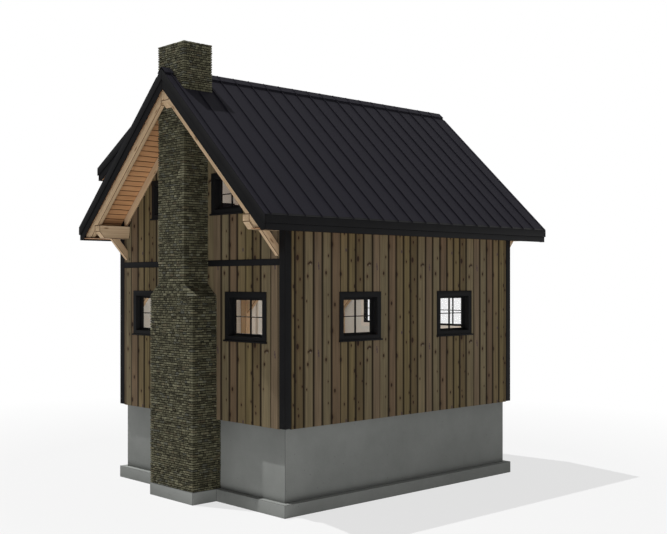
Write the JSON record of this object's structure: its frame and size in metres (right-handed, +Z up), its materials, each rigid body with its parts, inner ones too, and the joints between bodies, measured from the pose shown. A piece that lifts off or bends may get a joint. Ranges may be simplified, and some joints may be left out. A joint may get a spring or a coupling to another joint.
{
  "type": "timber-frame gable cabin",
  "caption": "Small cabin with a steep gable roof in standing seam metal, vertical board siding, a stone chimney on the front gable, a shed dormer and a concrete foundation.",
  "frame": {"origin": "centre of the footing's underside, below the middle of the ridge", "axes": "+X across the cabin to the side without the dormer, +Y along the ridge away from the chimney gable, +Z up"},
  "size_m": [5.833, 8.408, 8.717],
  "materials": {
    "concrete": "cast concrete, smooth formed faces",
    "ledge_stone": "thin split ledge stone in dry courses",
    "clay": "fired clay",
    "floor_boards": "planed boards",
    "timber": "planed softwood timber",
    "soffit_boards": "tongue and groove boards",
    "siding": "stained vertical boards with knots",
    "roof_metal": "satin charcoal standing seam",
    "black_trim": "satin black",
    "black_frame": "satin black",
    "glass": "clear"
  },
  "bodies": {
    "root": {"back_glass": "glass", "back_wall": "siding", "back_window_frames": "black_frame", "belly_bands": "black_trim", "chimney": "ledge_stone", "chimney_flue": "clay", "corner_boards": "black_trim", "door_frame": "black_frame", "door_leaf": "black_frame", "dormer_cheeks": "siding", "dormer_fascia": "black_trim", "dormer_front_wall": "siding", "dormer_glass": "glass", "dormer_roof_panel": "roof_metal", "dormer_window_frames": "black_frame", "eave_fascias": "black_trim", "eave_soffits": "soffit_boards", "fly_rafters": "timber", "foundation_walls": "concrete", "frame_rafters": "timber", "front_glass": "glass", "front_wall": "siding", "front_window_frames": "black_frame", "inner_braces": "timber", "left_glass": "glass", "left_roof_decking": "soffit_boards", "left_roof_panel": "roof_metal", "left_wall": "siding", "left_window_frames": "black_frame", "loft_floor": "floor_boards", "main_floor": "floor_boards", "outer_braces": "timber", "posts": "timber", "rake_fascias": "black_trim", "ridge_beam": "timber", "ridge_cap": "roof_metal", "right_glass": "glass", "right_roof_decking": "soffit_boards", "right_roof_panel": "roof_metal", "right_wall": "siding", "right_window_frames": "black_frame", "strip_footing": "concrete", "tie_beams": "timber", "wall_plates": "timber", "wall_rafters": "timber"}
  },
  "joints": []
}
